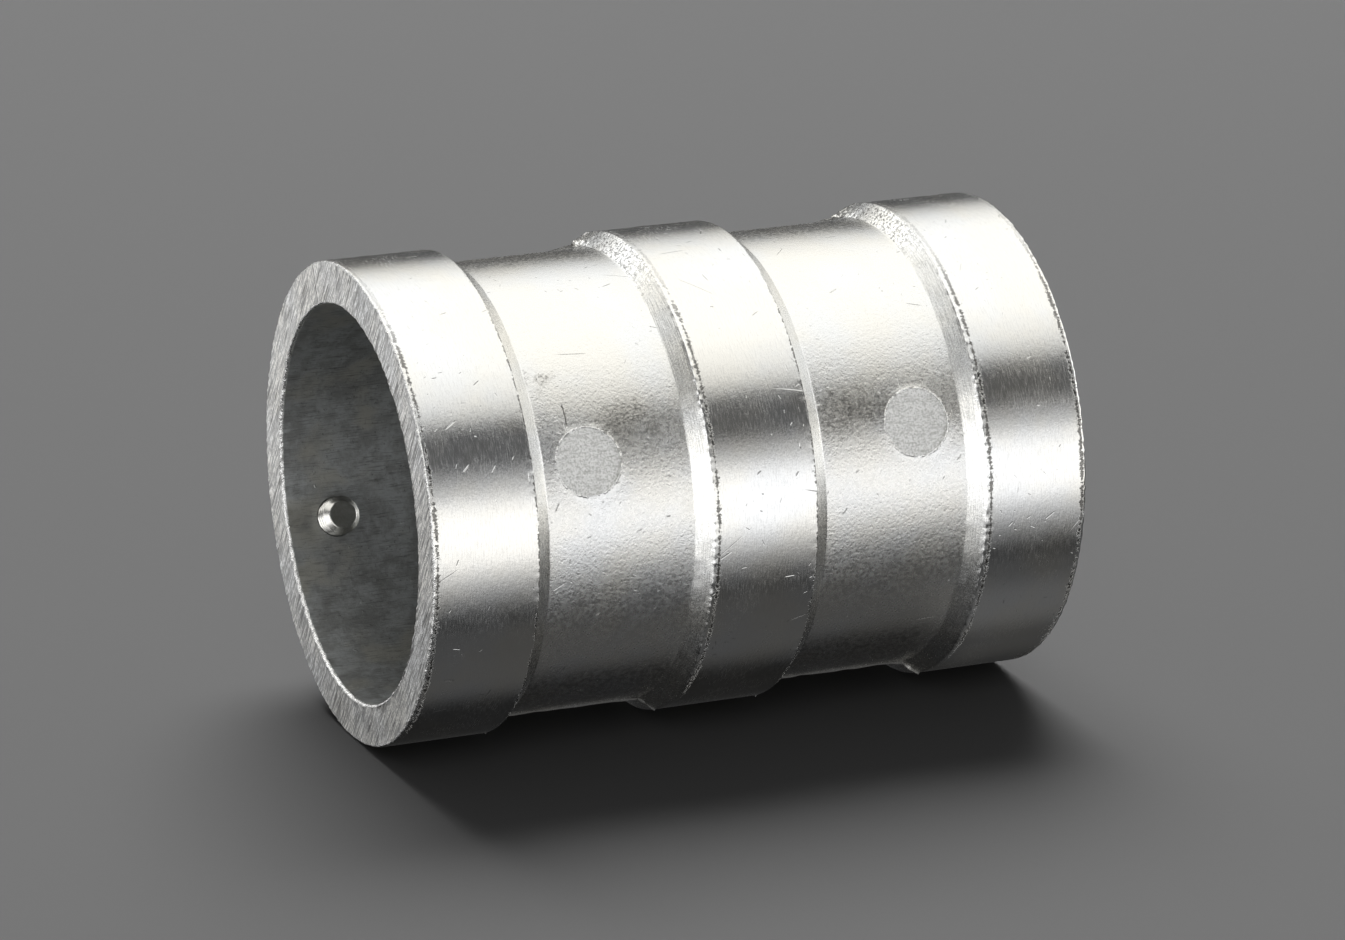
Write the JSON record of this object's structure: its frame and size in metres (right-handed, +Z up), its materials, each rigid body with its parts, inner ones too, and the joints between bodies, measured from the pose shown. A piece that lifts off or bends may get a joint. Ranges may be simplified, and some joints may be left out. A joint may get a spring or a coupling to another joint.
{
  "type": "rigid sleeve coupling",
  "caption": "Rigid ribbed sleeve coupling that joins two round tubes end to end and clamps each with a radial set screw.",
  "frame": {"origin": "middle of the bore, on its axis, half way between the two end faces", "axes": "+X along the bore from the front face to the rear face, +Z up as the sleeve lies on its side, the ejector marks towards -Y and the set screws towards +Y"},
  "size_m": [0.086, 0.06, 0.06],
  "materials": {
    "cast_aluminium": "die cast, bands turned bright, grooves as cast",
    "screw_steel": "plain zinc-plated machine steel"
  },
  "bodies": {
    "sleeve_body": {"sleeve": "cast_aluminium"},
    "front_screw": {"front_set_screw": "screw_steel"},
    "rear_screw": {"rear_set_screw": "screw_steel"}
  },
  "joints": [
    {"name": "front_screw_travel", "type": "slide", "parent": "sleeve_body", "child": "front_screw", "axis": [0, -0.9304, 0.3665], "range_m": [-0.003, 0.002]},
    {"name": "rear_screw_travel", "type": "slide", "parent": "sleeve_body", "child": "rear_screw", "axis": [0, -0.9304, 0.3665], "range_m": [-0.003, 0.002]}
  ]
}
